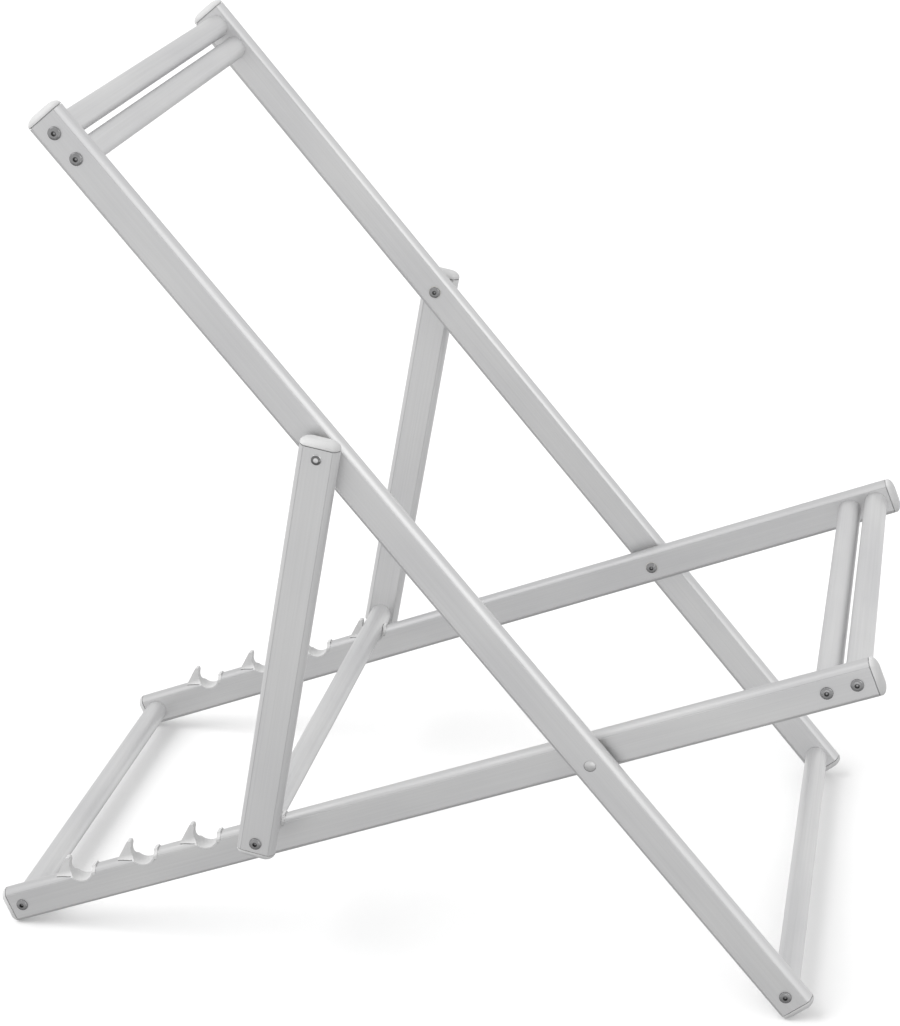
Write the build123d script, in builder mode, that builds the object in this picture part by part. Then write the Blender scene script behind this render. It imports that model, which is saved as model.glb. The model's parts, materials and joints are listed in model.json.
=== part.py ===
from build123d import *
import math
import os

# Bare folding frame of a deck chair: a seat frame, a back frame outside it and a prop frame outside that.
# X runs from the rear to the front, Y across to the sitter's left, Z up. The chair stands on Z = 0.
# Angles are in the side view, from +X towards +Z. "Reach" is a distance along a rail from its pivot.

# Rails and bars
overall_width = 568.0
rail_width = 40.0
rail_thickness = 18.0
rail_flat_width = 28.8
rail_wall = 1.8
frame_gap = 6.0
bar_diameter = 25.0
bar_wall = 2.0
bar_pitch = 30.0

# Reaches of the three frames
seat_front_reach = 285.0
seat_rear_reach = 674.5
back_upper_reach = 800.5
back_lower_reach = 329.0
back_prop_reach = 403.5
prop_bar_reach = 428.0
bar_end_margin = 16.5
rear_bar_end_margin = 13.5
prop_end_margin = 10.5

# Notches in the seat rails, counted from the pivot
notch_count = 4
notch_pitch = 75.5
last_notch_margin = 96.0
resting_notch = 1
cup_radius = 14.0
cup_lining = 2.0
cup_centre_rise = 3.0
bar_rest_gap = 0.3
horn_reach = 33.6
horn_foot_height = 19.9
horn_seat_reach = 16.6
horn_seat_height = 17.2
horn_tip_reach = 13.0
horn_tip_height = 36.4
horn_tip_width = 3.1
horn_tip_drop = 0.8
horn_tip_radius = 1.5
horn_hook_angle = math.radians(47)
horn_root_thickness = 9.6
horn_tip_thickness = 8.2
lip_width = 3.3
lip_height = 20.9
lip_back_height = 19.4
lip_foot_height = 17.0
lip_radius = 2.0
block_leg_inset = 4.0
block_leg_length = 11.0
block_leg_depth = 11.0
block_leg_thickness = 8.0
insert_clearance = 0.2

# End caps
cap_height = 6.5
cap_edge_radius = 4.5
cap_spigot_length = 4.6
cap_spigot_wall = 2.0
spigot_clearance = 0.15

# Screws that hold the bars, and the plugs that they screw into
screw_radius = 3.0
screw_hole_clearance = 0.2
thread_clearance = 0.05
head_radius = 6.3
head_rim_height = 0.9
head_height = 3.2
socket_width = 4.0
socket_depth = 2.0
plug_length = 28.0
plug_clearance = 0.05
thread_length = 16.0

# Pivots: a sleeve from the outer rail, closed by a screw inside the inner rail
sleeve_radius = 5.0
sleeve_clearance = 0.06
dome_radius = 5.8
flush_head_radius = 5.7
flush_head_depth = 3.0
flush_ring_gap = 0.3
pivot_end_play = 0.3
pivot_thread_length = 18.0
bush_wall = 2.0
bush_flange_radius = 10.5
bush_clearance = 0.05

# How much longer a cutting shape is than what it cuts
overrun = 2.0

# Half widths to each frame's outer face, and to the middle of its rails
frame_step = rail_thickness + frame_gap
prop_half_width = overall_width / 2
back_half_width = prop_half_width - frame_step
seat_half_width = back_half_width - frame_step
bar_radius = bar_diameter / 2

# Seat frame seen from the side, with the pivot at zero and the rails level
cup_centre_height = rail_width / 2 + cup_centre_rise
bar_rest_height = cup_centre_height - cup_radius + bar_rest_gap + bar_radius


def notch_reach(number):
    """Notches are set out from the rail's rear end, so the last one keeps its distance from the cap."""
    return seat_rear_reach - last_notch_margin - (notch_count - number) * notch_pitch


rest_reach = notch_reach(resting_notch)
rest_distance = math.hypot(rest_reach, bar_rest_height)
rest_angle = math.pi - math.atan2(bar_rest_height, rest_reach)


def corner_angle(side_a, side_b, opposite):
    """Angle between two sides of a triangle."""
    return math.acos((side_a**2 + side_b**2 - opposite**2) / (2 * side_a * side_b))


def rotated(u, v, angle):
    """A point of the side view turned about the seat pivot."""
    return u * math.cos(angle) - v * math.sin(angle), u * math.sin(angle) + v * math.cos(angle)


# The back rail's lean follows from the triangle of seat pivot, prop pivot and resting bar
back_lean = rest_angle - corner_angle(back_prop_reach, rest_distance, prop_bar_reach)

# The chair rests on the rounded lower corners of the seat's rear caps and of the foot caps
corner_inset = cap_height - cap_edge_radius
corner_half_width = rail_width / 2 - cap_edge_radius
rear_corner = (-seat_rear_reach - corner_inset, -corner_half_width)
foot_corner = rotated(-back_lower_reach - corner_inset, corner_half_width, back_lean)
seat_slope = -math.atan2(foot_corner[1] - rear_corner[1], foot_corner[0] - rear_corner[0])
back_angle = seat_slope + back_lean

# Height of the seat pivot, and its place between the rear and front ends of the seat rails
rear_end_x = rotated(-seat_rear_reach - corner_inset, corner_half_width, seat_slope)[0] - cap_edge_radius
front_end_x = rotated(seat_front_reach + corner_inset, -corner_half_width, seat_slope)[0] + cap_edge_radius
seat_pivot = Vector(
    -(rear_end_x + front_end_x) / 2,
    0,
    cap_edge_radius - rotated(*rear_corner, seat_slope)[1],
)


def direction(angle):
    return Vector(math.cos(angle), 0, math.sin(angle))


def seat_point(u, v=0):
    """A point of the level side view, placed in the sloping chair."""
    x, z = rotated(u, v, seat_slope)
    return seat_pivot + Vector(x, 0, z)


prop_pivot = seat_pivot + direction(back_angle) * back_prop_reach
resting_bar = seat_point(-rest_reach, bar_rest_height)
prop_line = resting_bar - prop_pivot
prop_angle = math.atan2(prop_line.Z, prop_line.X)

across = Vector(0, 1, 0)
sides = {"left": 1, "right": -1}


def at_y(point, y):
    return Vector(point.X, y, point.Z)


def side_plane(point, angle, y=0):
    """Seen from the right: X along the rail, Y towards its upper edge."""
    return Plane(origin=at_y(point, y), x_dir=direction(angle), z_dir=-across)


def end_plane(point, angle, y, outward=1):
    """Square to a rail, facing out of its end: X across the chair."""
    return Plane(origin=at_y(point, y), x_dir=across * outward, z_dir=direction(angle) * outward)


def outward_plane(point, y, side):
    """Square to a screw's axis, facing away from the chair's middle."""
    return Plane(origin=at_y(point, y * side), x_dir=(1, 0, 0), z_dir=across * side)


def section_outline(inset=0, mode=Mode.ADD):
    """The rail's section: two flat sides joined by two bowed edges."""
    half_width = rail_width / 2 - inset
    half_thickness = rail_thickness / 2 - inset
    half_flat = rail_flat_width / 2
    with BuildLine() as outline:
        outer_side = Line((half_thickness, -half_flat), (half_thickness, half_flat))
        ThreePointArc(outer_side @ 1, (0, half_width), (-half_thickness, half_flat))
        inner_side = Line((-half_thickness, half_flat), (-half_thickness, -half_flat))
        ThreePointArc(inner_side @ 1, (0, -half_width), outer_side @ 0)
    make_face(outline.edges(), mode=mode)


def drill(plane, reaches, radius, depth):
    """Holes across a rail, at reaches measured along the plane's X."""
    with BuildSketch(plane) as holes:
        with Locations(*[(reach, 0) for reach in reaches]):
            Circle(radius)
    extrude(holes.sketch, amount=depth, both=True, mode=Mode.SUBTRACT)


def make_rail(start, end, pivot, angle, y, screw_reaches, bored):
    """A hollow rail between two reaches from its pivot; bored maps a hole radius to its reaches."""
    line = direction(angle)
    with BuildPart() as rail:
        with BuildSketch(end_plane(pivot + line * start, angle, y)):
            section_outline()
            section_outline(rail_wall, mode=Mode.SUBTRACT)
        extrude(amount=end - start)
        plane = side_plane(pivot, angle, y)
        drill(plane, screw_reaches, screw_radius + screw_hole_clearance, rail_thickness)
        for radius, reaches in bored.items():
            drill(plane, reaches, radius, rail_thickness)
    return rail.part


def make_bar(point, half_width):
    """A round tube between the inner faces of a frame's two rails."""
    with BuildPart() as bar:
        with BuildSketch(Plane(origin=point, x_dir=(1, 0, 0), z_dir=across)):
            Circle(bar_radius)
            Circle(bar_radius - bar_wall, mode=Mode.SUBTRACT)
        extrude(amount=half_width - rail_thickness, both=True)
    return bar.part


def make_cap(plane):
    """A domed cap on a rail's end, with a hollow spigot inside the rail."""
    with BuildPart() as cap:
        with BuildSketch(plane):
            section_outline()
        extrude(amount=cap_height)
        for breadth_dir, view_dir, breadth in (
            (plane.y_dir, plane.x_dir, rail_width),
            (plane.x_dir, plane.y_dir, rail_thickness),
        ):
            with BuildSketch(Plane(origin=plane.origin, x_dir=breadth_dir, z_dir=view_dir)):
                RectangleRounded(breadth, 2 * cap_height, cap_edge_radius)
            extrude(amount=rail_width, both=True, mode=Mode.INTERSECT)
        with BuildSketch(plane):
            section_outline(rail_wall + spigot_clearance)
            section_outline(rail_wall + spigot_clearance + cap_spigot_wall, mode=Mode.SUBTRACT)
        extrude(amount=-cap_spigot_length)
    return cap.part


def make_screw(length):
    """A round-headed socket screw: the head's underside is at zero, the head points along +Z."""
    with BuildPart() as screw:
        with BuildSketch(Plane.XZ):
            with BuildLine():
                crown = Line((0, head_height), (socket_width / 2, head_height))
                TangentArc(crown @ 1, (head_radius, head_rim_height), tangent=crown % 1)
                Polyline(
                    (head_radius, head_rim_height),
                    (head_radius, 0),
                    (screw_radius, 0),
                    (screw_radius, -length),
                    (0, -length),
                    crown @ 0,
                )
            make_face()
        revolve(axis=Axis.Z)
        with BuildSketch(Plane.XY.offset(head_height)):
            RegularPolygon(socket_width / 2, 6, major_radius=False)
        extrude(amount=-socket_depth, mode=Mode.SUBTRACT)
    return screw.part


def make_plug():
    """A threaded plug: its outer end is at zero and it lies along -Z, inside the bar."""
    with BuildPart() as plug:
        with BuildSketch():
            Circle(bar_radius - bar_wall - plug_clearance)
            Circle(screw_radius + thread_clearance, mode=Mode.SUBTRACT)
        extrude(amount=-plug_length)
    return plug.part


def make_sleeve(domed):
    """A pivot sleeve: the outer rail's face is at zero, the barrel runs along -Z through both rails."""
    barrel_end = -2 * rail_thickness - frame_gap - pivot_end_play
    thread_end = barrel_end + pivot_thread_length
    with BuildPart() as sleeve:
        with BuildSketch(Plane.XZ):
            with BuildLine():
                if domed:
                    TangentArc((0, head_height), (dome_radius, head_rim_height), tangent=(1, 0))
                    Polyline((dome_radius, head_rim_height), (dome_radius, 0), (sleeve_radius, 0))
                    Line((0, thread_end), (0, head_height))
                    Line((sleeve_radius, 0), (sleeve_radius, barrel_end))
                else:
                    Polyline(
                        (0, thread_end),
                        (0, 0),
                        (flush_head_radius, 0),
                        (flush_head_radius, -flush_head_depth),
                        (sleeve_radius, -flush_head_depth),
                        (sleeve_radius, barrel_end),
                    )
                Polyline(
                    (sleeve_radius, barrel_end),
                    (screw_radius + thread_clearance, barrel_end),
                    (screw_radius + thread_clearance, thread_end),
                    (0, thread_end),
                )
            make_face()
        revolve(axis=Axis.Z)
    return sleeve.part


def make_bush():
    """A flanged bush: the inner rail's outer face is at zero, the flange fills the gap between the rails."""
    with BuildPart() as bush:
        with BuildSketch():
            Circle(sleeve_radius + sleeve_clearance + bush_wall)
        extrude(amount=-rail_thickness)
        with BuildSketch():
            Circle(bush_flange_radius)
        extrude(amount=frame_gap - pivot_end_play)
        with BuildSketch(Plane.XY.offset(frame_gap)):
            Circle(sleeve_radius + sleeve_clearance)
        extrude(amount=-frame_gap - rail_thickness - overrun, mode=Mode.SUBTRACT)
    return bush.part


def place_all(piece, planes):
    """Copies of one fastener, each on its own plane, as one group of separate solids."""
    with BuildPart() as group:
        with Locations(*planes):
            add(piece)
    return group.part


def notch_plane(number, y):
    """Side view at a notch: the rail's middle line is at zero height, the cup's centre above the origin."""
    return side_plane(seat_point(-notch_reach(number)), seat_slope, y)


def circle_height(radius, offset):
    """Height of a circle's edge above its centre, at an offset from it."""
    return math.sqrt(radius**2 - offset**2)


def cut_notches(y):
    """Room for the notch blocks in a seat rail's upper edge, and a slot for each block's leg."""
    rear = -horn_reach - insert_clearance
    front = cup_radius + lip_width + insert_clearance
    leg_start = block_leg_inset - horn_reach - insert_clearance
    leg_end = leg_start + block_leg_length + 2 * insert_clearance
    for number in range(1, notch_count + 1):
        plane = notch_plane(number, y)
        with BuildSketch(plane) as room:
            with BuildLine() as edge:
                Polyline(
                    (rear, rail_width),
                    (rear, horn_foot_height - insert_clearance),
                    (-horn_seat_reach, horn_seat_height - insert_clearance),
                    (cup_radius + cup_lining, lip_foot_height - insert_clearance),
                    (front, lip_back_height - insert_clearance),
                    (front, rail_width),
                    close=True,
                )
            make_face(edge.edges())
            with Locations((0, cup_centre_height)):
                Circle(cup_radius + cup_lining + insert_clearance)
        extrude(room.sketch, amount=rail_thickness, both=True, mode=Mode.SUBTRACT)
        with BuildSketch(plane) as slot:
            with Locations(((leg_start + leg_end) / 2, rail_flat_width / 2)):
                Rectangle(leg_end - leg_start, rail_width, align=(Align.CENTER, Align.MIN))
        slot_width = block_leg_thickness / 2 + insert_clearance
        extrude(slot.sketch, amount=slot_width, both=True, mode=Mode.SUBTRACT)


def make_notch_block(number, y):
    """A moulded block let into the rail: a hooked horn behind a round cup, with a low lip in front."""
    plane = notch_plane(number, y)
    lip_end = cup_radius + lip_width
    lip_edge = circle_height(cup_radius, cup_centre_height - lip_height)
    lining_radius = cup_radius + cup_lining
    lining_rear = -circle_height(lining_radius, cup_centre_height - horn_seat_height)
    lining_front = circle_height(lining_radius, cup_centre_height - lip_foot_height)
    hook_x = -cup_radius * math.cos(horn_hook_angle)
    hook_height = cup_centre_height + cup_radius * math.sin(horn_hook_angle)
    with BuildPart() as block:
        with BuildSketch(plane) as outline:
            with BuildLine():
                Polyline(
                    (lining_rear, horn_seat_height),
                    (-horn_seat_reach, horn_seat_height),
                    (-horn_reach, horn_foot_height),
                    (-horn_tip_reach, horn_tip_height),
                    (horn_tip_width - horn_tip_reach, horn_tip_height - horn_tip_drop),
                    (hook_x, hook_height),
                )
                ThreePointArc(
                    (hook_x, hook_height),
                    (0, cup_centre_height - cup_radius),
                    (lip_edge, lip_height),
                )
                Polyline(
                    (lip_edge, lip_height),
                    (lip_end, lip_height),
                    (lip_end, lip_back_height),
                    (lining_front, lip_foot_height),
                )
                ThreePointArc(
                    (lining_front, lip_foot_height),
                    (0, cup_centre_height - lining_radius),
                    (lining_rear, horn_seat_height),
                )
            make_face()
            fillet(outline.vertices().sort_by(Axis.Y)[-2:], horn_tip_radius)
            lip_corner = outline.vertices().sort_by_distance((lip_edge, lip_height))[0]
            fillet(lip_corner, lip_radius)
        extrude(amount=rail_thickness / 2, both=True)
        intersect_with_end_view(plane)
        with BuildSketch(plane):
            with Locations((block_leg_inset - horn_reach, horn_foot_height)):
                Rectangle(block_leg_length, block_leg_depth, align=(Align.MIN, Align.MAX))
        extrude(amount=block_leg_thickness / 2, both=True)
    return block.part


def intersect_with_end_view(plane):
    """Seen from the end, a notch block follows the rail's bowed edge, and its horn stands on the middle of it."""
    half_flat = rail_flat_width / 2
    half_thickness = rail_thickness / 2
    bow_rise = rail_width / 2 - half_flat
    bow_radius = (half_thickness**2 + bow_rise**2) / (2 * bow_rise)
    bow_centre = rail_width / 2 - bow_radius
    root = horn_root_thickness / 2
    root_height = bow_centre + circle_height(bow_radius, root)
    middle = (root + half_thickness) / 2
    middle_height = bow_centre + circle_height(bow_radius, middle)
    tip = horn_tip_thickness / 2
    with BuildSketch(Plane(origin=plane.origin, x_dir=across, z_dir=plane.x_dir)) as end_view:
        with BuildLine() as edge:
            Polyline(
                (half_thickness, half_flat),
                (half_thickness, -half_flat),
                (-half_thickness, -half_flat),
                (-half_thickness, half_flat),
            )
            ThreePointArc((-half_thickness, half_flat), (-middle, middle_height), (-root, root_height))
            Polyline((-root, root_height), (-tip, horn_tip_height), (tip, horn_tip_height), (root, root_height))
            ThreePointArc((root, root_height), (middle, middle_height), (half_thickness, half_flat))
        make_face(edge.edges())
    extrude(end_view.sketch, amount=horn_reach + overrun, both=True, mode=Mode.INTERSECT)


def seat_rail(side):
    y = side * (seat_half_width - rail_thickness / 2)
    plain = make_rail(
        -seat_rear_reach,
        seat_front_reach,
        seat_pivot,
        seat_slope,
        y,
        seat_bar_reaches.values(),
        {sleeve_radius + sleeve_clearance + bush_wall + bush_clearance: [0]},
    )
    with BuildPart() as rail:
        add(plain)
        cut_notches(y)
    return rail.part


def back_rail(side):
    y = side * (back_half_width - rail_thickness / 2)
    plain = make_rail(
        -back_lower_reach,
        back_upper_reach,
        seat_pivot,
        back_angle,
        y,
        back_bar_reaches.values(),
        {
            sleeve_radius + sleeve_clearance: [0],
            sleeve_radius + sleeve_clearance + bush_wall + bush_clearance: [back_prop_reach],
        },
    )
    with BuildPart() as rail:
        add(plain)
        with BuildSketch(outward_plane(seat_pivot, back_half_width, side)):
            Circle(flush_head_radius + flush_ring_gap)
        extrude(amount=-flush_head_depth, mode=Mode.SUBTRACT)
    return rail.part


def prop_rail(side):
    return make_rail(
        -prop_end_margin,
        prop_bar_reach + prop_end_margin,
        prop_pivot,
        prop_angle,
        side * (prop_half_width - rail_thickness / 2),
        [prop_bar_reach],
        {sleeve_radius + sleeve_clearance: [0]},
    )


# Each frame's bars, by their reach along its rails
seat_bar_reaches = {
    "front_bar": seat_front_reach - bar_end_margin,
    "second_front_bar": seat_front_reach - bar_end_margin - bar_pitch,
    "rear_bar": rear_bar_end_margin - seat_rear_reach,
}
back_bar_reaches = {
    "head_bar": back_upper_reach - bar_end_margin,
    "second_head_bar": back_upper_reach - bar_end_margin - bar_pitch,
    "foot_bar": bar_end_margin - back_lower_reach,
}
prop_bar_reaches = {"prop_bar": prop_bar_reach}

# Name, pivot, rail angle, half width, rail maker, bars, and the names and reaches of the two rail ends
frames = [
    (
        "seat",
        seat_pivot,
        seat_slope,
        seat_half_width,
        seat_rail,
        seat_bar_reaches,
        {"front": seat_front_reach, "rear": -seat_rear_reach},
    ),
    (
        "back",
        seat_pivot,
        back_angle,
        back_half_width,
        back_rail,
        back_bar_reaches,
        {"head": back_upper_reach, "foot": -back_lower_reach},
    ),
    (
        "prop",
        prop_pivot,
        prop_angle,
        prop_half_width,
        prop_rail,
        prop_bar_reaches,
        {"top": -prop_end_margin, "bottom": prop_bar_reach + prop_end_margin},
    ),
]

pieces = {}
bar_screw = make_screw(rail_thickness + thread_length)
bar_plug = make_plug()
for frame_name, pivot, angle, half_width, rail_maker, bars, ends in frames:
    line = direction(angle)
    rail_y = half_width - rail_thickness / 2
    for side_name, side in sides.items():
        pieces[f"{side_name}_{frame_name}_rail"] = rail_maker(side)
        for end_name, reach in ends.items():
            outward = math.copysign(1, reach)
            plane = end_plane(pivot + line * reach, angle, side * rail_y, outward)
            pieces[f"{side_name}_{frame_name}_{end_name}_cap"] = make_cap(plane)
    centres = [pivot + line * reach for reach in bars.values()]
    for bar_name, centre in zip(bars, centres):
        pieces[bar_name] = make_bar(centre, half_width)
    heads = [outward_plane(c, half_width, side) for c in centres for side in sides.values()]
    bar_ends = [outward_plane(c, half_width - rail_thickness, side) for c in centres for side in sides.values()]
    pieces[f"{frame_name}_bar_screws"] = place_all(bar_screw, heads)
    pieces[f"{frame_name}_bar_plugs"] = place_all(bar_plug, bar_ends)

for side_name, side in sides.items():
    for number in range(1, notch_count + 1):
        block_y = side * (seat_half_width - rail_thickness / 2)
        pieces[f"{side_name}_notch_block_{number}"] = make_notch_block(number, block_y)

# The pivots: name, centre, outer frame's half width, and whether the sleeve's head is domed
pivots = [
    ("seat_pivot", seat_pivot, back_half_width, False),
    ("prop_pivot", prop_pivot, prop_half_width, True),
]
pivot_screw = make_screw(pivot_thread_length - thread_clearance)
for pivot_name, centre, outer_half_width, domed in pivots:
    inner_half_width = outer_half_width - frame_step
    inner_face = inner_half_width - rail_thickness - pivot_end_play
    outer_planes = [outward_plane(centre, outer_half_width, side) for side in sides.values()]
    bush_planes = [outward_plane(centre, inner_half_width, side) for side in sides.values()]
    screw_planes = [
        Plane(origin=at_y(centre, inner_face * side), x_dir=(1, 0, 0), z_dir=-across * side)
        for side in sides.values()
    ]
    pieces[f"{pivot_name}_sleeves"] = place_all(make_sleeve(domed), outer_planes)
    pieces[f"{pivot_name}_bushes"] = place_all(make_bush(), bush_planes)
    pieces[f"{pivot_name}_screws"] = place_all(pivot_screw, screw_planes)

os.makedirs("parts", exist_ok=True)
for name, piece in pieces.items():
    piece.label = name
    export_step(piece, f"parts/{name}.step")

# Where the hinges are, and how far they turn
limit_distance = rail_width / 2 + bar_radius
foot_limit = math.asin(limit_distance / abs(back_bar_reaches["foot_bar"]))
prop_limit = math.asin(limit_distance / prop_bar_reach)
prop_opening = corner_angle(back_prop_reach, prop_bar_reach, rest_distance)
print("seat pivot", seat_pivot, "prop pivot", prop_pivot, "resting bar", resting_bar)
print("seat slope", math.degrees(seat_slope), "back", math.degrees(back_angle), "prop", math.degrees(prop_angle))
print("back folds forward by up to", math.degrees(back_lean - foot_limit))
print("prop closes by up to", math.degrees(prop_opening - prop_limit))
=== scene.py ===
import bmesh
import bpy
import json
import math
from mathutils import Matrix, Vector


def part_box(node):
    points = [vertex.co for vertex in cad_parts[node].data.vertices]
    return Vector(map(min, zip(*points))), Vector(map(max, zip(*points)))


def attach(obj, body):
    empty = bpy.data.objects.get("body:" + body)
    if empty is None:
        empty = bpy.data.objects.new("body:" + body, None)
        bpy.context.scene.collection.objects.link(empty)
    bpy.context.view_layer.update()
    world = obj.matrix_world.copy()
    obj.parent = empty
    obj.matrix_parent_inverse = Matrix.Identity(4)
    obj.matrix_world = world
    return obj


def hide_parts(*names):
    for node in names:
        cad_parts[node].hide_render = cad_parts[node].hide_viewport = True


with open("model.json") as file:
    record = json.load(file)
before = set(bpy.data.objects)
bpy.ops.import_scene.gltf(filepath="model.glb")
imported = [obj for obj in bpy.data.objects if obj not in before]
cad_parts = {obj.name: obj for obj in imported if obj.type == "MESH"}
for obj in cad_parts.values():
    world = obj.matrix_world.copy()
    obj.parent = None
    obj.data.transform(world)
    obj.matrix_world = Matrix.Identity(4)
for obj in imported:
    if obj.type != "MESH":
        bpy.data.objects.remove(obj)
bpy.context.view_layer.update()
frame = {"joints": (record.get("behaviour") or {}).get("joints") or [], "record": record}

mm = 0.001
sides = {"left": 1, "right": -1}
across = Vector((0, 1, 0))

# Rails and their section
rail_width = 40 * mm
rail_thickness = 18 * mm
rail_flat = 28.8 * mm
rail_wall = 1.8 * mm
groove_width = 0.9 * mm
groove_depth = 0.55 * mm

# Bars
bar_radius = 12.5 * mm
bar_bore = 10.5 * mm
bar_edge = 0.4 * mm

# End caps. The wall starts a little before the joint ends, so that the two overlap
cap_height = 7.9 * mm
cap_joint = 1.1 * mm
cap_joint_inset = 1.9 * mm
cap_wall_start = cap_joint - 0.11 * mm
cap_wall_height = 1.3 * mm
cap_crown_inset = Vector((0, 6.9, 11.5)) * mm
cap_spigot = 4.4 * mm
spigot_inset = 2 * mm
spigot_wall = 2 * mm

# Notch blocks, seen from the side with the rail's middle line at zero height
notch_count = 4
cup_radius = 13.2 * mm
cup_lining = 2 * mm
cup_height = 22.2 * mm
lip_wall = 4 * mm
lip_low_angle = math.radians(42)
lip_top = 21.2 * mm
horn_foot = Vector((-31.8, 0, 19.9)) * mm
horn_seat = Vector((-16.6, 0, 17.2)) * mm
horn_tip_rear = Vector((-12.1, 0, 37.1)) * mm
horn_tip_front = Vector((-8.3, 0, 35.9)) * mm
horn_tip_round = 1.4 * mm
horn_hook_angle = math.radians(44)
block_gap = 0.1 * mm
seat_gap = 0.65 * mm
block_edge = 0.6 * mm

# Notch blocks, seen from the end
block_proud = 0.45 * mm
horn_flare_half = 7.6 * mm
horn_flare_middle = Vector((0, 10.2, 22.6)) * mm
horn_tip_half = 3.9 * mm
horn_top = 38 * mm

# Screws, whose sockets have six sides
screw_radius = 3 * mm
screw_chamfer = 0.4 * mm
screw_head = 6.3 * mm
screw_head_edge = 0.15 * mm
screw_rim = 0.9 * mm
screw_height = 2.5 * mm
screw_length = 34 * mm
pivot_screw_length = 17.9 * mm
screw_bore = screw_radius + 0.05 * mm
socket_corner = 2.2 * mm
socket_land = 0.5 * mm
socket_depth = 1.7 * mm
socket_point = 0.5 * mm
plug_radius = 10.45 * mm
plug_length = 28 * mm

# Pivots
sleeve_radius = 5 * mm
sleeve_length = 42.3 * mm
sleeve_bore = 18 * mm
sleeve_hole = 5.06 * mm
dome_radius = 5.35 * mm
dome_rim = 0.8 * mm
dome_height = 2.5 * mm
flush_radius = 5.7 * mm
flush_sink = 0.05 * mm
flush_chamfer = 0.5 * mm
flush_chamfer_depth = 0.35 * mm
flush_depth = 3 * mm
flush_recess = 6 * mm
bush_radius = 7.06 * mm
bush_hole = 7.11 * mm
bush_flange = 10.5 * mm
bush_flange_height = 5.7 * mm
pivot_play = 0.3 * mm

# How far each frame's rails run past the bars nearest their ends
bar_end_margin = 16.5 * mm
rear_bar_margin = 13.5 * mm
prop_end_margin = 10.5 * mm

# Steps in each kind of curve
bow_steps = 14
cap_steps = 14
cup_steps = 24
lip_steps = 6
flare_steps = 5
tip_steps = 5
edge_steps = 3
dome_steps = 10
turned_steps = 64
bar_steps = 96

# An edge is sharp from this angle, and points this near each other are one
sharp_angle = math.radians(32)
turned_weld = 0.002 * mm
piece_weld = 0.005 * mm
block_weld = 0.02 * mm


def centre(node):
    """The middle of a CAD node's box."""
    low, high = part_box(node)
    return (low + high) / 2


def side_angle(start, end):
    """Angle of a line of the side view, from +X towards +Z."""
    return math.atan2(end.z - start.z, end.x - start.x)


def reach(origin, node):
    """Distance from a pivot to a bar's centre, seen from the side."""
    line = centre(node) - origin
    return math.hypot(line.x, line.z)


body_of = {node: body for body, nodes in frame["record"]["behaviour"]["bodies"].items() for node in nodes}
pivots = {joint["name"]: Vector(joint["pos_m"]) for joint in frame["joints"]}
seat_pivot = pivots["back_fold"]
prop_pivot = pivots["prop_fold"]
seat_slope = side_angle(centre("rear_bar"), centre("front_bar"))
back_angle = side_angle(centre("foot_bar"), centre("head_bar"))
prop_angle = side_angle(prop_pivot, centre("prop_bar"))


def hex_colour(code):
    """An sRGB hex colour as linear red, green, blue and alpha."""
    parts = [int(code[i:i + 2], 16) / 255 for i in (1, 3, 5)]
    return (*[p / 12.92 if p <= 0.04045 else ((p + 0.055) / 1.055) ** 2.4 for p in parts], 1.0)


def grey(value):
    """A linear grey, or a plain number, as a colour ramp takes it."""
    return (value, value, value, 1.0)


def spread(low, high):
    """Colour ramp stops that spread two colours over the values that a noise mostly has."""
    return [(0.3, low), (0.7, high)]


def per_mm(spacing):
    """Pattern scale, in repeats a metre, for a spacing in millimetres."""
    return 1 / (spacing * mm)


def new_tree(owner):
    """Gives a material or the world an empty node tree."""
    owner.use_nodes = True
    owner.node_tree.nodes.clear()
    return owner.node_tree


def add_node(tree, kind, settings=None, links=None, stops=()):
    """Adds a node and gives back its outputs.

    Settings are its properties or the values of its input sockets, and links the outputs that feed its sockets, each
    by name or number. Stops are a colour ramp's positions and colours, from the lowest up."""
    node = tree.nodes.new(f"ShaderNode{kind}")
    for name, value in (settings or {}).items():
        if isinstance(name, str) and hasattr(node, name):
            setattr(node, name, value)
        else:
            node.inputs[name].default_value = value
    for name, source in (links or {}).items():
        tree.links.new(source, node.inputs[name])
    for number, (position, colour) in enumerate(stops):
        on_ramp = node.color_ramp.elements
        stop = on_ramp[number] if number < len(on_ramp) else on_ramp.new(position)
        stop.position = position
        stop.color = colour
    return node.outputs


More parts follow.
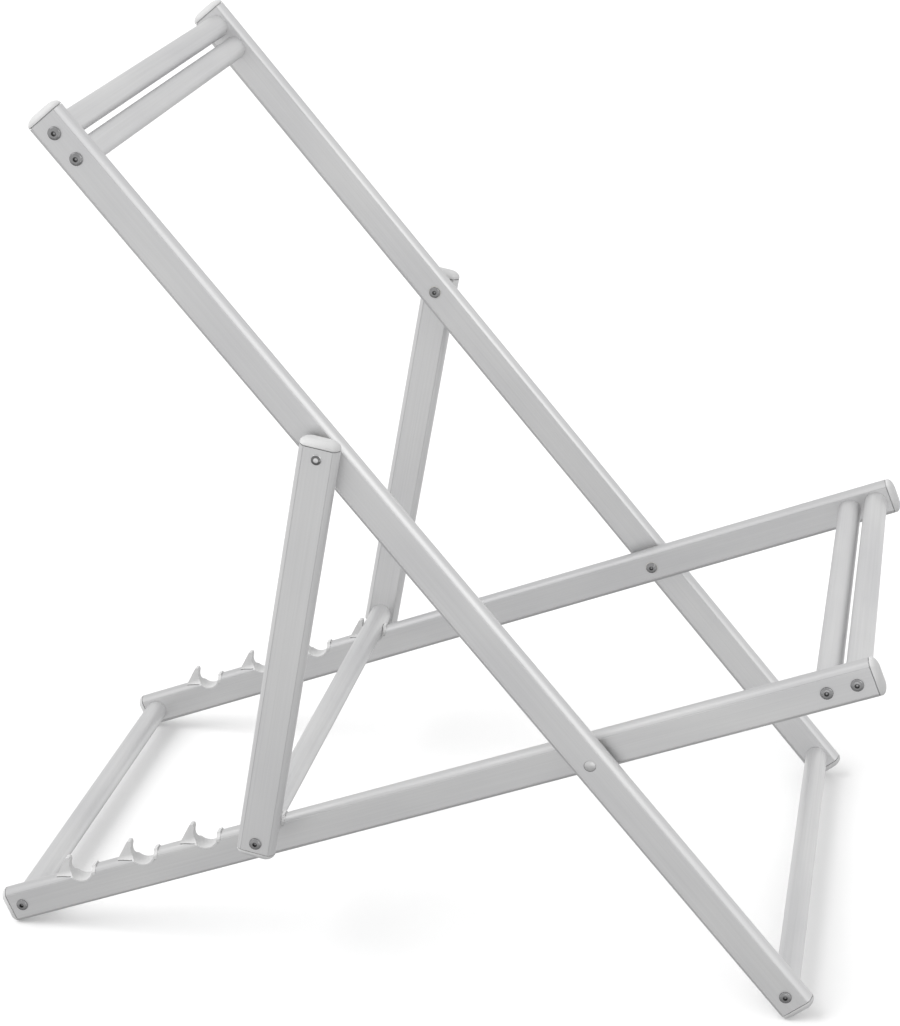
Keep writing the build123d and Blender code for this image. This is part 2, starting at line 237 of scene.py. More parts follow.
def anodised_aluminium(name, turn, line_length, line_width, dark, light):
    """Caustic-etched and clear-anodised aluminium: satin grey, with long faint lines from the die or the drawing.

    The turn brings X along the piece. The lines' length and width are in millimetres."""
    material = bpy.data.materials.new(name)
    tree = new_tree(material)
    where = add_node(tree, "TexCoord")["Object"]
    place = add_node(tree, "Mapping", {"Rotation": turn}, {"Vector": where})[0]
    line_scale = (per_mm(line_length), per_mm(line_width), per_mm(line_width))
    line_place = add_node(tree, "Mapping", {"Scale": line_scale}, {"Vector": place})[0]
    lines = add_node(tree, "TexNoise", {"Scale": 1, "Detail": 3, "Roughness": 0.6}, {"Vector": line_place})[0]
    cloud_scale = (per_mm(160), per_mm(60), per_mm(60))
    cloud_place = add_node(tree, "Mapping", {"Scale": cloud_scale}, {"Vector": place})[0]
    clouds = add_node(tree, "TexNoise", {"Scale": 1}, {"Vector": cloud_place})[0]
    # The etch grain is about 0.1 mm on the real rail; it is drawn at 0.7 mm so that it shows
    grain = add_node(tree, "TexNoise", {"Scale": per_mm(0.7), "Detail": 1}, {"Vector": place})[0]

    tint = add_node(tree, "ValToRGB", links={"Fac": clouds}, stops=spread(hex_colour(dark), hex_colour(light)))[0]
    line_greys = spread(hex_colour("#F8F8F8"), hex_colour("#FFFFFF"))
    streaks = add_node(tree, "ValToRGB", links={"Fac": lines}, stops=line_greys)[0]
    multiply = {"data_type": "RGBA", "blend_type": "MULTIPLY", "Factor": 1}
    colour = add_node(tree, "Mix", multiply, {6: tint, 7: streaks})[2]
    roughness = add_node(tree, "ValToRGB", links={"Fac": lines}, stops=spread(grey(0.45), grey(0.5)))[0]
    lined = add_node(tree, "Bump", {"Distance": 0.014 * mm}, {"Height": lines})[0]
    normal = add_node(tree, "Bump", {"Distance": 0.012 * mm}, {"Height": grain, "Normal": lined})[0]
    links = {"Base Color": colour, "Roughness": roughness, "Normal": normal}
    surface = add_node(tree, "BsdfPrincipled", {"Metallic": 1}, links)["BSDF"]
    add_node(tree, "OutputMaterial", links={"Surface": surface})
    return material


def moulded_plastic(name, dark, light, least_rough, scatter):
    """Injection-moulded plastic with a fine spark texture: soft sheen and a trace of light through thin edges."""
    material = bpy.data.materials.new(name)
    tree = new_tree(material)
    place = add_node(tree, "TexCoord")["Object"]
    # Spark texture is about 0.05 mm; it is drawn at 0.5 mm so that it shows
    texture = add_node(tree, "TexNoise", {"Scale": per_mm(0.5)}, {"Vector": place})[0]
    flow = add_node(tree, "TexNoise", {"Scale": per_mm(14)}, {"Vector": place})[0]

    colour = add_node(tree, "ValToRGB", links={"Fac": flow}, stops=spread(hex_colour(dark), hex_colour(light)))[0]
    most_rough = least_rough + 0.12
    rough_stops = spread(grey(least_rough), grey(most_rough))
    roughness = add_node(tree, "ValToRGB", links={"Fac": texture}, stops=rough_stops)[0]
    normal = add_node(tree, "Bump", {"Distance": 0.01 * mm}, {"Height": texture})[0]
    settings = {"IOR": 1.49, "Subsurface Weight": scatter, "Subsurface Radius": Vector((2, 2, 2)) * mm}
    links = {"Base Color": colour, "Roughness": roughness, "Normal": normal}
    surface = add_node(tree, "BsdfPrincipled", settings, links)["BSDF"]
    add_node(tree, "OutputMaterial", links={"Surface": surface})
    return material


def turned_metal(name, dark, light, least_rough, ring_spacing, painted_shade_band=None):
    """Metal turned on a lathe: fine rings round its axis, which runs across the chair, their spacing in millimetres.

    A painted shade band darkens the colour in a ring, from one radius to another: painted shade in a screw's socket,
    and on a dome the painted dark reflection that polished steel shows where it curves away."""
    material = bpy.data.materials.new(name)
    tree = new_tree(material)
    place = add_node(tree, "TexCoord")["Object"]
    smear = add_node(tree, "TexNoise", {"Scale": per_mm(3)}, {"Vector": place})[0]
    radius = add_node(tree, "Attribute", {"attribute_name": "turning_radius"})["Fac"]
    ring_turns = {"operation": "MULTIPLY", 1: 2 * math.pi * per_mm(ring_spacing)}
    phase = add_node(tree, "Math", ring_turns, {0: radius})[0]
    rings = add_node(tree, "Math", {"operation": "SINE"}, {0: phase})[0]

    colour = add_node(tree, "ValToRGB", links={"Fac": smear}, stops=spread(hex_colour(dark), hex_colour(light)))[0]
    # Painted shade and reflection: the colour is darkened in a ring round the axis
    if painted_shade_band:
        inner, outer = painted_shade_band
        widest = 10 * mm
        share = add_node(tree, "MapRange", {"From Max": widest}, {"Value": radius})[0]
        clear, shade = hex_colour("#FFFFFF"), hex_colour("#8A8A8A")
        edges = [(inner - 0.4 * mm, clear), (inner + 0.2 * mm, shade), (outer, shade), (outer + 0.6 * mm, clear)]
        band_stops = [(edge / widest, tone) for edge, tone in edges]
        band = add_node(tree, "ValToRGB", links={"Fac": share}, stops=band_stops)[0]
        multiply = {"data_type": "RGBA", "blend_type": "MULTIPLY", "Factor": 1}
        colour = add_node(tree, "Mix", multiply, {6: colour, 7: band})[2]
    most_rough = least_rough + 0.1
    rough_stops = spread(grey(least_rough), grey(most_rough))
    roughness = add_node(tree, "ValToRGB", links={"Fac": smear}, stops=rough_stops)[0]
    normal = add_node(tree, "Bump", {"Distance": 0.004 * mm}, {"Height": rings})[0]
    links = {"Base Color": colour, "Roughness": roughness, "Normal": normal}
    surface = add_node(tree, "BsdfPrincipled", {"Metallic": 1}, links)["BSDF"]
    add_node(tree, "OutputMaterial", links={"Surface": surface})
    return material


# The seat rails are given a darker tint than the back and prop rails
rail_finish = {
    frame_name: anodised_aluminium(
        f"extruded_anodised_aluminium_{frame_name}", (0, angle, 0), line_length=240, line_width=1.6,
        dark=dark, light=light,
    )
    for frame_name, angle, dark, light in (
        ("seat", seat_slope, "#DADADB", "#E3E3E3"),
        ("back", back_angle, "#DFDFE0", "#E7E7E7"),
        ("prop", prop_angle, "#DFDFE0", "#E7E7E7"),
    )
}
tube_finish = anodised_aluminium(
    "drawn_anodised_aluminium", (0, 0, math.pi / 2), line_length=180, line_width=2, dark="#E3E3E4", light="#ECECEC"
)
cap_finish = moulded_plastic("moulded_polypropylene", "#D0D0D0", "#D6D6D6", least_rough=0.4, scatter=0.05)
block_finish = moulded_plastic("moulded_acetal", "#CACACA", "#D1D1D1", least_rough=0.36, scatter=0.05)
bush_finish = moulded_plastic("moulded_nylon", "#D8D7D2", "#E0DFDA", least_rough=0.4, scatter=0.1)
# Painted reflection and shade: the screw steel's base colour is kept dark to stand in for mirrored dark surroundings,
# and its band paints shade in the socket from 1.2 to 2.2 mm round the axis
steel_finish = turned_metal(
    "polished_stainless_steel", "#949495", "#A2A2A3", least_rough=0.2, ring_spacing=0.5,
    painted_shade_band=(1.2 * mm, 2.2 * mm),
)
# Painted reflection: the dome steel is darkened in a ring from 2.5 to 4.5 mm round the axis, a painted dark reflection
# that leaves the bright middle to read as a highlight
dome_finish = turned_metal(
    "polished_steel_dome", "#DCDCDD", "#E6E6E7", least_rough=0.14, ring_spacing=0.5,
    painted_shade_band=(2.5 * mm, 4.5 * mm),
)
sleeve_finish = turned_metal("turned_aluminium_sleeve", "#D4D4D4", "#DEDEDE", least_rough=0.3, ring_spacing=0.6)
plug_finish = turned_metal("turned_aluminium_plug", "#BDBDBD", "#CACACA", least_rough=0.35, ring_spacing=0.8)


def new_object(name, bm, material=None):
    """Puts a mesh into the scene as an object."""
    mesh = bpy.data.meshes.new(name)
    bm.to_mesh(mesh)
    bm.free()
    if material:
        mesh.materials.append(material)
    thing = bpy.data.objects.new(name, mesh)
    bpy.context.scene.collection.objects.link(thing)
    return thing


def finish_piece(bm, name, node, material):
    """Makes a mesh a piece of the chair, standing for a CAD node and riding on its body."""
    bmesh.ops.remove_doubles(bm, verts=bm.verts, dist=piece_weld)
    bmesh.ops.recalc_face_normals(bm, faces=bm.faces)
    for face in bm.faces:
        face.smooth = True
    for edge in bm.edges:
        if len(edge.link_faces) == 2:
            edge.smooth = edge.calc_face_angle() < sharp_angle
    piece = new_object(name, bm, material)
    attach(piece, body_of[node])
    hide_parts(node)
    return piece


def solid_change(bm, tool, operation):
    """Cuts, joins or keeps the shared part of two closed meshes, and gives back the result."""
    blanks = []
    for source in (bm, tool):
        bmesh.ops.recalc_face_normals(source, faces=source.faces)
        blanks.append(new_object("blank", source))
    change = blanks[0].modifiers.new("change", "BOOLEAN")
    change.operation = operation
    change.solver = "MANIFOLD"
    change.object = blanks[1]
    view = bpy.context.evaluated_depsgraph_get()
    mesh = bpy.data.meshes.new_from_object(blanks[0].evaluated_get(view))
    result = bmesh.new()
    result.from_mesh(mesh)
    bpy.data.meshes.remove(mesh)
    for blank in blanks:
        mesh = blank.data
        bpy.data.objects.remove(blank)
        bpy.data.meshes.remove(mesh)
    return result


def add_copies(bm, part, places=(Matrix.Identity(4),)):
    """Adds copies of a part to a mesh, one at each place, and uses the part up."""
    for place in places:
        copy = part.copy()
        copy.transform(place)
        mesh = bpy.data.meshes.new("copy")
        copy.to_mesh(mesh)
        copy.free()
        bm.from_mesh(mesh)
        bpy.data.meshes.remove(mesh)
    part.free()


def of_kind(items, kind):
    """The vertices, edges or faces among what an operator made."""
    return [item for item in items if isinstance(item, kind)]


def chain(bm, points, closed=False):
    """Joins points, each a vertex or a place, with edges, and gives back the vertices."""
    vertices = [p if isinstance(p, bmesh.types.BMVert) else bm.verts.new(p) for p in points]
    run = vertices + vertices[:1] if closed else vertices
    for a, b in zip(run, run[1:]):
        bm.edges.new((a, b))
    return vertices


def arc(bm, start, middle, axis, angle, steps):
    """Carries a vertex round an axis as a chain of edges, and gives back the last vertex."""
    spun = bmesh.ops.spin(bm, geom=[start], cent=middle, axis=axis, angle=angle, steps=steps)
    return of_kind(spun["geom_last"], bmesh.types.BMVert)[0]


def extrude(bm, faces, move):
    """Extrudes faces by a move, keeps them as the near end, and gives back the faces at the far end."""
    made = bmesh.ops.extrude_face_region(bm, geom=faces)["geom"]
    bmesh.ops.translate(bm, verts=of_kind(made, bmesh.types.BMVert), vec=move)
    return of_kind(made, bmesh.types.BMFace)


def extrude_across(bm):
    """Gives a flat side view more depth than a rail has, evenly about its middle plane."""
    bmesh.ops.translate(bm, verts=bm.verts, vec=-across * rail_thickness)
    extrude(bm, bm.faces[:], across * 2 * rail_thickness)


def quarter_turn(steps):
    """Angles from 0 to a right angle."""
    return [step / steps * math.pi / 2 for step in range(steps + 1)]


def section_loop(bm, inset=0.0, groove=0.0):
    """The rail's section at X = 0: flat sides, bowed edges, and a small groove where they meet. Gives its edges."""
    before = set(bm.edges)
    half_thickness = rail_thickness / 2 - inset
    half_width = rail_width / 2 - inset
    half_flat = rail_flat / 2
    rise = half_width - half_flat
    radius = (half_thickness ** 2 + rise ** 2) / (2 * rise)
    sweep = 2 * math.asin(half_thickness / radius)
    margin = groove / 2 / radius
    ends = []
    for turn in (1, -1):
        middle = Vector((0, 0, turn * (half_width - radius)))
        corner = Vector((0, turn * half_thickness, turn * half_flat))
        far_corner = Vector((0, -turn * half_thickness, turn * half_flat))
        start = bm.verts.new(Matrix.Rotation(margin, 3, "X") @ (corner - middle) + middle)
        last = arc(bm, start, middle, (1, 0, 0), sweep - 2 * margin, bow_steps)
        if groove:
            step = Vector((0, 0, -turn * groove / 2))
            dip = Vector((0, -turn * groove_depth, 0))
            start = chain(bm, [corner + step, corner + dip, start])[0]
            last = chain(bm, [last, far_corner - dip, far_corner + step])[-1]
        ends += [start, last]
    upper_start, upper_last, lower_start, lower_last = ends
    bm.edges.new((upper_last, lower_start))
    bm.edges.new((lower_last, upper_start))
    return [edge for edge in bm.edges if edge not in before]


def rail_blank(start, end):
    """A hollow rail from one reach to the other."""
    bm = bmesh.new()
    loops = section_loop(bm, groove=groove_width) + section_loop(bm, rail_wall)
    bmesh.ops.bridge_loops(bm, edges=loops)
    bmesh.ops.translate(bm, verts=bm.verts, vec=(start, 0, 0))
    extrude(bm, bm.faces[:], (end - start, 0, 0))
    return bm


def round_cutter(radius, start, length):
    """A cylinder across the chair, from its start along +Y."""
    bm = bmesh.new()
    bmesh.ops.create_circle(bm, cap_ends=True, segments=turned_steps, radius=radius)
    bmesh.ops.rotate(bm, verts=bm.verts, matrix=Matrix.Rotation(math.pi / 2, 3, "X"))
    bmesh.ops.translate(bm, verts=bm.verts, vec=start)
    extrude(bm, bm.faces[:], across * length)
    return bm


def drill(bm, place_x, radius, depth_from=-rail_thickness, depth_to=rail_thickness):
    """A round hole across a rail, right through it or between two distances from its middle plane."""
    return solid_change(bm, round_cutter(radius, (place_x, depth_from, 0), depth_to - depth_from), "DIFFERENCE")


def cap_blank():
    """An end cap on the +X end of a rail: a set-back joint, a short wall with a crown, and a hollow spigot."""
    bm = bmesh.new()
    bmesh.ops.edgeloop_fill(bm, edges=section_loop(bm, cap_joint_inset))
    extrude(bm, bm.faces[:], (cap_joint, 0, 0))
    crown = bmesh.new()
    bmesh.ops.edgeloop_fill(crown, edges=section_loop(crown))
    bmesh.ops.translate(crown, verts=crown.verts, vec=(cap_wall_start, 0, 0))
    top = extrude(crown, crown.faces[:], (cap_wall_height - cap_wall_start, 0, 0))
    half_size = Vector((0, rail_thickness / 2, rail_width / 2))
    angles = quarter_turn(cap_steps)
    for was, now in zip(angles, angles[1:]):
        rise = (cap_height - cap_wall_height) * (math.sin(now) - math.sin(was))
        # The face that each ring grows from stays inside the crown
        top = extrude(crown, top, (rise, 0, 0))
        old, new = [half_size - cap_crown_inset * (1 - math.cos(angle)) for angle in (was, now)]
        bmesh.ops.scale(crown, verts=top[0].verts[:], vec=(1, new.y / old.y, new.z / old.z))
    add_copies(bm, crown)
    spigot = bmesh.new()
    loops = section_loop(spigot, spigot_inset) + section_loop(spigot, spigot_inset + spigot_wall)
    bmesh.ops.bridge_loops(spigot, edges=loops)
    extrude(spigot, spigot.faces[:], (-cap_spigot, 0, 0))
    add_copies(bm, spigot)
    return bm


def note_turning_radius(bm):
    """Gives each vertex its distance from the Y axis, which the rings of a turned finish follow."""
    layers = bm.verts.layers.float
    layer = layers.get("turning_radius") or layers.new("turning_radius")
    for vertex in bm.verts:
        vertex[layer] = math.hypot(vertex.co.x, vertex.co.z)


def turned(outline, steps=turned_steps):
    """A solid of revolution round Y. Each point of the outline is a distance along Y and one from the axis.

    An outline with both ends off the axis is joined up, and makes a ring."""
    bm = bmesh.new()
    is_ring = outline[0][1] > 0 and outline[-1][1] > 0
    chain(bm, [(radius, along, 0) for along, radius in outline], closed=is_ring)
    bmesh.ops.spin(
        bm, geom=bm.verts[:] + bm.edges[:], cent=(0, 0, 0), axis=across, angle=2 * math.pi, steps=steps, use_merge=True
    )
    bmesh.ops.remove_doubles(bm, verts=bm.verts, dist=turned_weld)
    bmesh.ops.recalc_face_normals(bm, faces=bm.faces)
    note_turning_radius(bm)
    return bm


def crown_outline(radius, rim, height, flat):
    """Points of a domed head from its rim to its flat middle, for turning."""
    return [
        (rim + (height - rim) * math.sin(angle), flat + (radius - flat) * math.cos(angle))
        for angle in quarter_turn(dome_steps)
    ]


def socket_screw(length):
    """A round-headed socket screw: the underside of the head at zero, the head along +Y."""
    bm = turned([
        (-length, 0),
        (-length, screw_radius - screw_chamfer),
        (screw_chamfer - length, screw_radius),
        (0, screw_radius),
        (0, screw_head - screw_head_edge),
        (screw_head_edge, screw_head),
        *crown_outline(screw_head, screw_rim, screw_height, socket_corner + socket_land),
        (screw_height, 0),
    ])
    socket = bmesh.new()
    bmesh.ops.create_cone(
        socket, cap_ends=True, segments=6, radius1=socket_corner, radius2=socket_corner, depth=2 * socket_depth
    )
    bmesh.ops.rotate(socket, verts=socket.verts, matrix=Matrix.Rotation(math.pi / 2, 3, "X"))
    bottom = min(socket.faces, key=lambda face: face.calc_center_median().y)
    bmesh.ops.poke(socket, faces=[bottom], offset=socket_point, center_mode="MEAN")
    bmesh.ops.translate(socket, verts=socket.verts, vec=(0, screw_height, 0))
    bm = solid_change(bm, socket, "DIFFERENCE")
    note_turning_radius(bm)
    return bm


def bar_blank(half_length):
    """A drawn tube across the chair, its ends lightly chamfered."""
    return turned([
        (-half_length, bar_bore),
        (-half_length, bar_radius - bar_edge),
        (bar_edge - half_length, bar_radius),
        (half_length - bar_edge, bar_radius),
        (half_length, bar_radius - bar_edge),
        (half_length, bar_bore),
    ], bar_steps)


def on_circle(radius, angle):
    """A point round the cup's middle, at an angle above the horizontal on the lip's side."""
    return Vector((radius * math.cos(angle), 0, cup_height + radius * math.sin(angle)))


def block_side_view():
    """A notch block from the side: cup lining, lip and horn."""
    bm = bmesh.new()
    lining = cup_radius + cup_lining
    lip = cup_radius + lip_wall
    middle = Vector((0, 0, cup_height))
    seat_angle = math.asin((cup_height - horn_seat.z) / lining)
    lip_angle = math.asin((cup_height - lip_top) / lip)
    cup_angle = math.asin((cup_height - lip_top) / cup_radius)
    start = bm.verts.new(on_circle(lining, math.pi + seat_angle))
    lining_last = arc(bm, start, middle, across, seat_angle + lip_low_angle - math.pi, cup_steps)
    lip_first = bm.verts.new(on_circle(lip, -lip_low_angle))
    lip_last = arc(bm, lip_first, middle, across, lip_angle - lip_low_angle, lip_steps)
    cup_first = bm.verts.new(on_circle(cup_radius, -cup_angle))
    cup_last = arc(bm, cup_first, middle, across, math.pi - cup_angle + horn_hook_angle, cup_steps)
    chain(bm, [lining_last, lip_first])
    chain(bm, [lip_last, cup_first])
    horn = chain(bm, [cup_last, horn_tip_front, horn_tip_rear, horn_foot, horn_seat, start])
    bmesh.ops.edgeloop_fill(bm, edges=bm.edges[:])
    bmesh.ops.bevel(
        bm, geom=horn[1:3], offset=horn_tip_round, offset_type="OFFSET", affect="VERTICES",
        segments=tip_steps, profile=0.5, material=-1,
    )
    return bm


def block_end_view():
    """A notch block from the end: it follows the rail's bow, and the horn flares out where it stands on it."""
    bm = bmesh.new()
    half = rail_thickness / 2
    rise = (rail_width - rail_flat) / 2
    bow = (half ** 2 + rise ** 2) / (2 * rise)
    middle = Vector((0, 0, rail_width / 2 - bow))
    proud = bow + block_proud
    sweep = math.asin(half / proud) - math.asin(horn_flare_half / proud)
    feet, tips = [], []
    for turn in (1, -1):
        shoulder = middle + Vector((0, turn * half, math.sqrt(proud ** 2 - half ** 2)))
        foot, bow_first = chain(bm, [(0, turn * half, 0), shoulder])
        bow_last = arc(bm, bow_first, middle, (1, 0, 0), turn * sweep, flare_steps)
        flare_middle = Vector((0, turn * horn_flare_middle.y, horn_flare_middle.z))
        low = bow_last.co - flare_middle
        flare_turn = math.atan2(-low.z, abs(low.y))
        flare_last = arc(bm, bow_last, flare_middle, (1, 0, 0), -turn * flare_turn, flare_steps)
        tips.append(chain(bm, [flare_last, (0, turn * horn_tip_half, horn_top)])[-1])
        feet.append(foot)
    bm.edges.new(tips)
    bm.edges.new(feet)
    bmesh.ops.edgeloop_fill(bm, edges=bm.edges[:])
    return bm


def notch_room():
    """The cut that takes one notch block: round holes for the lining and the lip, opened upwards."""
    bm = bmesh.new()
    rear = horn_foot.x - block_gap
    front = cup_radius + lip_wall + block_gap
    chain(bm, [
        (rear, 0, rail_width),
        (rear, 0, horn_foot.z - seat_gap),
        (horn_seat.x, 0, horn_seat.z - seat_gap),
        (0, 0, horn_seat.z - seat_gap),
        on_circle(front, -lip_low_angle),
        on_circle(front, -lip_low_angle / 2),
        (front, 0, cup_height),
        (front, 0, rail_width),
    ], closed=True)
    bmesh.ops.edgeloop_fill(bm, edges=bm.edges[:])
    extrude_across(bm)
    lining = round_cutter(cup_radius + cup_lining + block_gap, (0, -rail_thickness, cup_height), 2 * rail_thickness)
    return solid_change(bm, lining, "UNION")


def notch_block():
    """One notch block: its side view and its end view are extruded, and what they share is kept."""
    side_view = block_side_view()
    extrude_across(side_view)
    end_view = block_end_view()
    bmesh.ops.translate(end_view, verts=end_view.verts, vec=(-2 * rail_width, 0, 0))
    extrude(end_view, end_view.faces[:], (4 * rail_width, 0, 0))
    bm = solid_change(side_view, end_view, "INTERSECT")
    bmesh.ops.remove_doubles(bm, verts=bm.verts, dist=block_weld)
    bmesh.ops.dissolve_degenerate(bm, edges=bm.edges, dist=block_weld)
    return bm


def outer_face(frame_name):
    """How far a frame's rails reach from the chair's middle plane."""
    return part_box(f"left_{frame_name}_rail")[1].y


def rail_middle(frame_name, side):
    """The middle plane of a frame's rail on one side."""
    return side * (outer_face(frame_name) - rail_thickness / 2)


def rail_space(origin, angle, y):
    """Turns a rail's own space into the chair's: X along the rail, Y across the chair, Z towards its upper edge."""
    return Matrix.Translation(Vector((origin.x, y, origin.z))) @ Matrix.Rotation(-angle, 4, "Y")


seat_along = Vector((math.cos(seat_slope), 0, math.sin(seat_slope)))
first_notch = (centre("prop_bar") - seat_pivot).dot(seat_along)
last_block = centre(f"left_notch_block_{notch_count}")
notch_pitch = (last_block - centre("left_notch_block_1")).length / (notch_count - 1)


def notch_space(number, y):
    """A notch block's own space: the cup's middle over the origin, on the rail's middle line."""
    return rail_space(seat_pivot + seat_along * (first_notch - (number - 1) * notch_pitch), seat_slope, y)


def half_turn(facing):
    """Turns a part that faces along +X or +Y to face the other way where its facing is -1."""
    return Matrix.Rotation(math.pi if facing < 0 else 0, 4, "Z")


# Rails: the pivot they turn on, their angle, how far they run behind and ahead of that pivot, and how their caps face
rails = {
    "seat": (seat_pivot, seat_slope, -reach(seat_pivot, "rear_bar") - rear_bar_margin,
             reach(seat_pivot, "front_bar") + bar_end_margin, {"front": 1, "rear": -1}),
    "back": (seat_pivot, back_angle, -reach(seat_pivot, "foot_bar") - bar_end_margin,
             reach(seat_pivot, "head_bar") + bar_end_margin, {"head": 1, "foot": -1}),
    "prop": (prop_pivot, prop_angle, -prop_end_margin,
             reach(prop_pivot, "prop_bar") + prop_end_margin, {"bottom": 1, "top": -1}),
}
for frame_name, (origin, angle, start, end, caps) in rails.items():
    for side_name, side in sides.items():
        y = rail_middle(frame_name, side)
        place = rail_space(origin, angle, y)
        bm = rail_blank(start, end)
        if frame_name == "seat":
            bm = drill(bm, 0, bush_hole)
            for number in range(1, notch_count + 1):
                room = notch_room()
                room.transform(place.inverted() @ notch_space(number, y))
                bm = solid_change(bm, room, "DIFFERENCE")
        elif frame_name == "back":
            face = rail_thickness / 2
            bm = drill(bm, 0, sleeve_hole)
            bm = drill(bm, 0, flush_recess, side * (face - flush_depth), side * (face + flush_depth))
            bm = drill(bm, reach(seat_pivot, "prop_pivot_sleeves"), bush_hole)
        else:
            bm = drill(bm, 0, sleeve_hole)
        bm.transform(place)
        rail = f"{side_name}_{frame_name}"
        finish_piece(bm, f"{rail}_extrusion", f"{rail}_rail", rail_finish[frame_name])
        for cap, facing in caps.items():
            bm = cap_blank()
            bm.transform(place @ Matrix.Translation((end if facing > 0 else start, 0, 0)) @ half_turn(facing))
            finish_piece(bm, f"{rail}_{cap}_moulding", f"{rail}_{cap}_cap", cap_finish)

# Notch blocks, their edges eased as the mould leaves them
for side_name, side in sides.items():
    for number in range(1, notch_count + 1):
        bm = notch_block()
        bm.transform(notch_space(number, rail_middle("seat", side)))
        piece = finish_piece(
            bm, f"{side_name}_notch_moulding_{number}", f"{side_name}_notch_block_{number}",
            block_finish,
        )
        ease = piece.modifiers.new("eased_edges", "BEVEL")
        ease.width = block_edge
        ease.segments = edge_steps
        ease.limit_method = "ANGLE"
        ease.angle_limit = sharp_angle
        ease.use_clamp_overlap = True


def both_sides(point, y, facing=1):
    """A fastener's places on both sides of the chair, its +Y facing outwards, or inwards where facing is -1."""
    return [
        Matrix.Translation(Vector((point.x, side * y, point.z))) @ half_turn(side * facing) for side in sides.values()
    ]


def fastener_group(part, places, name, node, material):
    """Makes copies of a fastener one piece of the chair."""
    bm = bmesh.new()
    # The copies bring their turning radius only into a mesh that already has a place for it
    note_turning_radius(bm)
    add_copies(bm, part, places)
    finish_piece(bm, name, node, material)


# Bars, their screws and their end plugs
frame_bars = {
    "seat": ("front_bar", "second_front_bar", "rear_bar"),
    "back": ("head_bar", "second_head_bar", "foot_bar"),
    "prop": ("prop_bar",),
}
plug_outline = [(0, screw_bore), (0, plug_radius), (-plug_length, plug_radius), (-plug_length, screw_bore)]
for frame_name, bars in frame_bars.items():
    outer = outer_face(frame_name)
    inner = outer - rail_thickness
    for bar in bars:
        bm = bar_blank(inner)
        bm.transform(Matrix.Translation(Vector((centre(bar).x, 0, centre(bar).z))))
        finish_piece(bm, f"{bar}_tube", bar, tube_finish)
    fastener_group(
        socket_screw(screw_length), [place for bar in bars for place in both_sides(centre(bar), outer)],
        f"{frame_name}_button_head_screws", f"{frame_name}_bar_screws", steel_finish,
    )
    fastener_group(
        turned(plug_outline), [place for bar in bars for place in both_sides(centre(bar), inner)],
        f"{frame_name}_threaded_plugs", f"{frame_name}_bar_plugs", plug_finish,
    )

# Pivots: a sleeve through two rails, a bush that keeps them apart, and a screw that closes the sleeve from inside
barrel_outline = [
    (0, sleeve_radius),
    (-sleeve_length, sleeve_radius),
    (-sleeve_length, screw_bore),
    (sleeve_bore - sleeve_length, screw_bore),
    (sleeve_bore - sleeve_length, 0),
]
domed_outline = crown_outline(dome_radius, dome_rim, dome_height, 0)[::-1] + [(0, dome_radius)] + barrel_outline
flush_outline = [
    (-flush_sink, 0),
    (-flush_sink, flush_radius - flush_chamfer),
    (-flush_chamfer_depth, flush_radius),
    (-flush_depth, flush_radius),
    (-flush_depth, sleeve_radius),
    *barrel_outline[1:],
]
bush_outline = [
    (-rail_thickness, sleeve_hole),
    (-rail_thickness, bush_radius),
    (0, bush_radius),
    (0, bush_flange),
    (bush_flange_height, bush_flange),
    (bush_flange_height, sleeve_hole),
]
frame_step = outer_face("prop") - outer_face("back")
pivot_kinds = {
    "seat_pivot": (seat_pivot, outer_face("back"), flush_outline, "flush_sleeve_aluminium", sleeve_finish),
    "prop_pivot": (prop_pivot, outer_face("prop"), domed_outline, "fastener_steel", dome_finish),
}
for pivot, (point, outer, sleeve_outline, slot, material) in pivot_kinds.items():
    inner = outer - frame_step
    fastener_group(
        turned(sleeve_outline), both_sides(point, outer), f"{pivot}_barrels", f"{pivot}_sleeves", material
    )
    fastener_group(
        turned(bush_outline), both_sides(point, inner), f"{pivot}_flanged_bushes", f"{pivot}_bushes",
        bush_finish,
    )
    fastener_group(
        socket_screw(pivot_screw_length), both_sides(point, inner - rail_thickness - pivot_play, facing=-1),
        f"{pivot}_socket_screws", f"{pivot}_screws", steel_finish,
    )

# Floor: a matt paper sweep, whose pulp gives it a very faint mottle
floor_reach = 8
paper = bpy.data.materials.new("matt_paper_floor")
tree = new_tree(paper)
place = add_node(tree, "TexCoord")["Object"]
mottle = add_node(tree, "TexNoise", {"Scale": per_mm(300)}, {"Vector": place})[0]
colour = add_node(tree, "ValToRGB", links={"Fac": mottle}, stops=spread(grey(0.97), grey(1.0)))[0]
surface = add_node(tree, "BsdfPrincipled", {"Roughness": 0.9}, {"Base Color": colour})["BSDF"]
add_node(tree, "OutputMaterial", links={"Surface": surface})
bm = bmesh.new()
bmesh.ops.create_grid(bm, x_segments=1, y_segments=1, size=floor_reach)
floor = new_object("floor", bm, paper)
floor.visible_glossy = floor.visible_diffuse = False


def soft_box(name, place, target, size, power):
    """A square lamp that is only seen mirrored, mostly in the metal."""
    lamp = bpy.data.lights.new(name, "AREA")
    lamp.size = size
    lamp.energy = power
    holder = bpy.data.objects.new(name, lamp)
    holder.location = place
    holder.rotation_euler = (Vector(target) - Vector(place)).to_track_quat("-Z", "Y").to_euler()
    holder.visible_diffuse = False
    bpy.context.scene.collection.objects.link(holder)


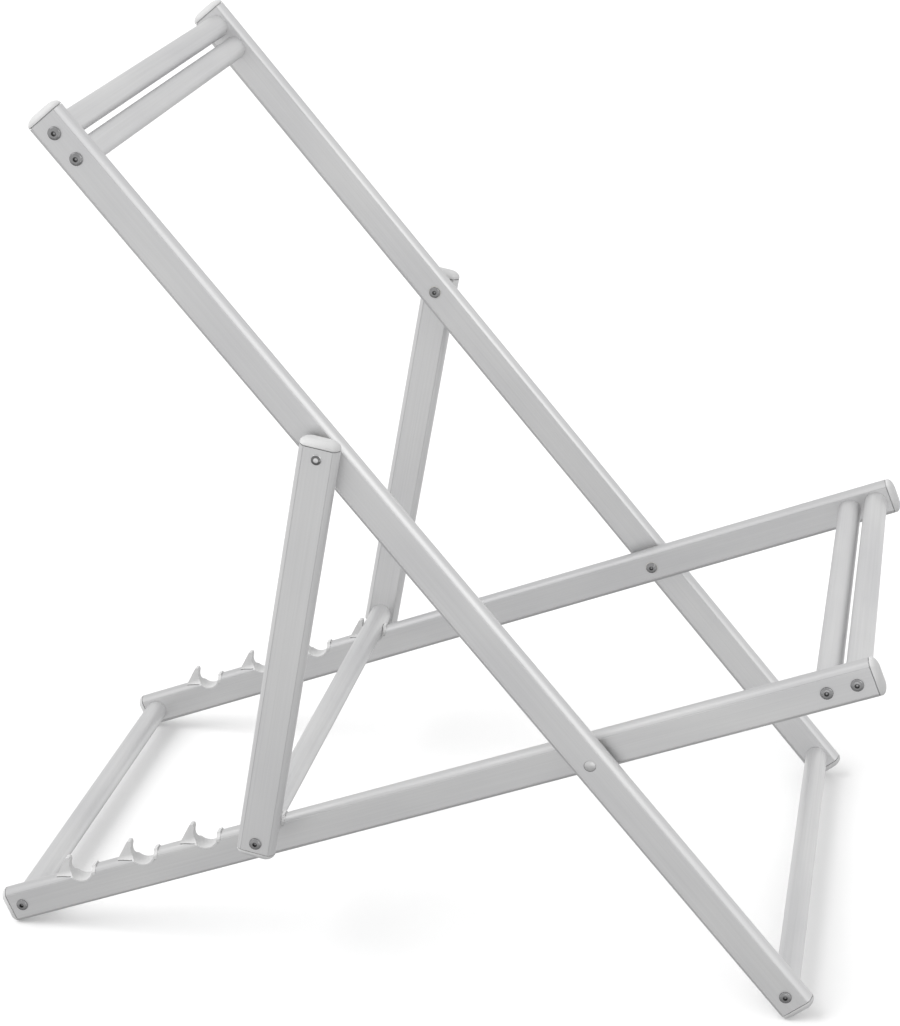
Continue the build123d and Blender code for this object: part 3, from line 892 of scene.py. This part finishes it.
# Light: soft boxes, a wide lamp overhead that nothing mirrors, and a pale room that darkens downwards
soft_box("left_soft_box", place=(-1.6, -0.7, 2.2), target=(0, 0, 0.2), size=1, power=3.6)
soft_box("right_soft_box", place=(2.3, -1.7, 1.9), target=(0, 0, 0.4), size=1.7, power=10)
soft_box("low_card", place=(0.38, -1.5, 0.07), target=(-0.08, -0.28, 0.58), size=0.3, power=0.4)

key_from = Vector((-0.62, -0.3, 0.74))
key = bpy.data.lights.new("key_light", "SUN")
key.energy = 1.62
key.angle = math.radians(48)
key_holder = bpy.data.objects.new("key_light", key)
key_holder.rotation_euler = key_from.to_track_quat("Z", "Y").to_euler()
key_holder.visible_glossy = False
bpy.context.scene.collection.objects.link(key_holder)

# The room's grey by height, from straight down at 0 to straight up at 1
room_greys = [(0, 0.42), (0.2, 0.5), (0.29, 0.82), (0.45, 0.88), (0.6, 0.78), (0.8, 0.82), (1, 0.86)]
world = bpy.data.worlds.new("pale_room")
tree = new_tree(world)
direction = add_node(tree, "TexCoord")["Generated"]
upward = add_node(tree, "SeparateXYZ", links={"Vector": direction})["Z"]
height = add_node(tree, "MapRange", {"From Min": -1}, {"Value": upward})[0]
room_stops = [(position, grey(value)) for position, value in room_greys]
room = add_node(tree, "ValToRGB", links={"Fac": height}, stops=room_stops)[0]
background = add_node(tree, "Background", links={"Color": room})["Background"]
add_node(tree, "OutputWorld", links={"Surface": background})
bpy.context.scene.world = world
bpy.context.scene.view_settings.view_transform = "Standard"

# Camera, at the photograph's place
view_place = Vector((0.46219257, -2.22284597, 1.37059233))
view_right = Vector((0.97901658, 0.20350797, -0.01053735))
view_up = Vector((-0.06946952, 0.38191553, 0.92158262))
view_forward = Vector((-0.19157379, 0.90151264, -0.38803923))
lens = bpy.data.cameras.new("photograph_view")
lens.sensor_width = 36
lens.lens = 81.42
camera = bpy.data.objects.new("photograph_view", lens)
view_turn = Matrix((view_right, view_up, -view_forward)).transposed()
camera.matrix_world = Matrix.Translation(view_place) @ view_turn.to_4x4()
bpy.context.scene.collection.objects.link(camera)
bpy.context.scene.camera = camera
